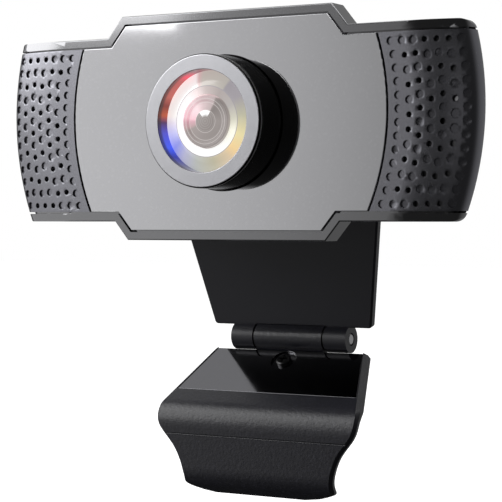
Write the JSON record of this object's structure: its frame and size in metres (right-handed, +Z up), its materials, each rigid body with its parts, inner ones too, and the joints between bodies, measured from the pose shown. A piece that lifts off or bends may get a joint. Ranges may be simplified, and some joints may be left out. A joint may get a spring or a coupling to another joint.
{
  "type": "clip-on webcam",
  "caption": "Webcam with a wide stepped face, slotted-in side grilles and a manual focus ring, on a folding clip that sits over a screen's top edge.",
  "frame": {"origin": "middle of the underside of the rest pad, where the clip sits on a screen's top edge", "axes": "+Z up, +X to the right seen from the front, the lens looks towards -Y"},
  "size_m": [0.1, 0.0375, 0.0915],
  "materials": {
    "frame_grey": "gloss",
    "plate_grey": "gloss",
    "grille_grey": "satin",
    "mesh_black": "matt",
    "mic_metal": "satin",
    "soft_black": "matt",
    "barrel_black": "high gloss",
    "ring_grey": "satin",
    "cone_pale": "gloss",
    "lens_black": "satin",
    "lens_glass": "clear",
    "board_green": "satin",
    "chip_black": "satin",
    "plug_white": "satin",
    "housing_dark": "satin",
    "bracket_dark": "satin",
    "screw_steel": "satin",
    "pin_steel": "satin",
    "arm_dark": "satin",
    "cover_dark": "matt",
    "leaf_dark": "satin",
    "inlay_black": "high gloss"
  },
  "bodies": {
    "clip_leaf_body": {"clip_leaf": "leaf_dark", "leaf_top_plate": "inlay_black", "leaf_screw": "screw_steel", "hinge_pin": "pin_steel", "hinge_washers": "bracket_dark", "chin_pad": "soft_black", "rest_pad": "soft_black"},
    "arm_body": {"clip_arm": "arm_dark", "arm_cover": "cover_dark", "arm_screws": "screw_steel", "tilt_pin": "pin_steel", "tilt_washers": "bracket_dark"},
    "head_body": {"front_frame": "frame_grey", "front_plate": "plate_grey", "grille_left": "grille_grey", "grille_right": "grille_grey", "dust_mesh_left": "mesh_black", "dust_mesh_right": "mesh_black", "mic_left": "mic_metal", "mic_right": "mic_metal", "mic_boot_left": "soft_black", "mic_boot_right": "soft_black", "lens_barrel": "barrel_black", "lens_holder": "lens_black", "holder_screws": "screw_steel", "ir_filter": "lens_glass", "image_sensor": "chip_black", "main_board": "board_green", "image_processor": "chip_black", "cable_connector": "plug_white", "cable_grommet": "soft_black", "rear_housing": "housing_dark", "housing_screws": "screw_steel", "board_screws": "screw_steel", "tilt_bracket": "bracket_dark", "bracket_screws": "screw_steel"},
    "focus_body": {"focus_ring": "ring_grey", "trim_cone": "cone_pale"},
    "lens_body": {"lens_cell": "lens_black", "cell_retainer": "lens_black", "front_element": "lens_glass", "aperture_stop": "lens_black", "rear_element": "lens_glass"}
  },
  "joints": [
    {"name": "clip_fold", "type": "hinge", "parent": "clip_leaf_body", "child": "arm_body", "pos_m": [0, 0.00566, 0.00888], "axis": [1, 0, 0], "range_deg": [-75, 70]},
    {"name": "head_tilt", "type": "hinge", "parent": "arm_body", "child": "head_body", "pos_m": [0, -0.00369, 0.05145], "axis": [1, 0, 0], "range_deg": [-40, 18]},
    {"name": "focus_turn", "type": "hinge", "parent": "head_body", "child": "focus_body", "pos_m": [0, -0.0215, 0.05], "axis": [0, -1, 0], "range_deg": [-60, 60]},
    {"name": "lens_travel", "type": "slide", "parent": "head_body", "child": "lens_body", "axis": [0, -1, 0], "range_m": [-0.00052, 0.00052]}
  ],
  "couplings": [
    {"joint": "focus_turn", "follows": "lens_travel", "rad_per_m": 2000}
  ]
}
